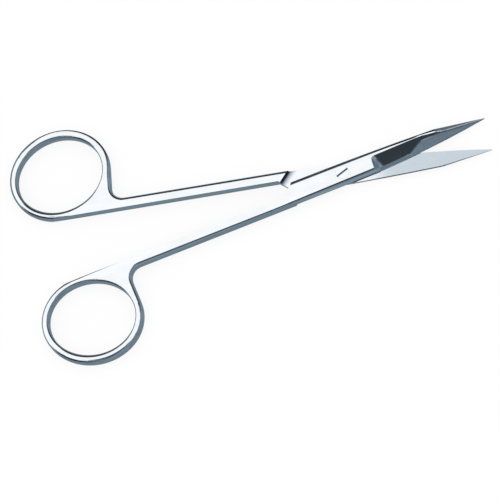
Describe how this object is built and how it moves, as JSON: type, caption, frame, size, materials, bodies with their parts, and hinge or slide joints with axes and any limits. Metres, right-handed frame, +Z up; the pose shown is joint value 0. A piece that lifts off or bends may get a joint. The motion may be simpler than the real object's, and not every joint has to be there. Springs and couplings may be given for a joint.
{
  "type": "tissue scissors",
  "caption": "Slender straight tissue scissors with oval finger rings, a lapped screw joint and hollow-ground blades, lying flat and a little open",
  "frame": {"origin": "the joint axis where it meets the surface that the scissors lie on", "axes": "+X runs along the middle line between the halves towards the tips, +Z is up out of the surface along the joint axis, and +Y is the side of the lower half's finger ring"},
  "size_m": [0.1275, 0.066, 0.0032],
  "materials": {
    "polished_steel": "polished",
    "screw_steel": "polished"
  },
  "bodies": {
    "lower": {"lower_half": "polished_steel", "pivot_screw": "screw_steel"},
    "upper": {"upper_half": "polished_steel"}
  },
  "joints": [
    {"name": "open_close", "type": "hinge", "parent": "lower", "child": "upper", "pos_m": [0, 0, 0.0016], "axis": [0, 0, 1], "range_deg": [-12.2, 77.8]}
  ]
}
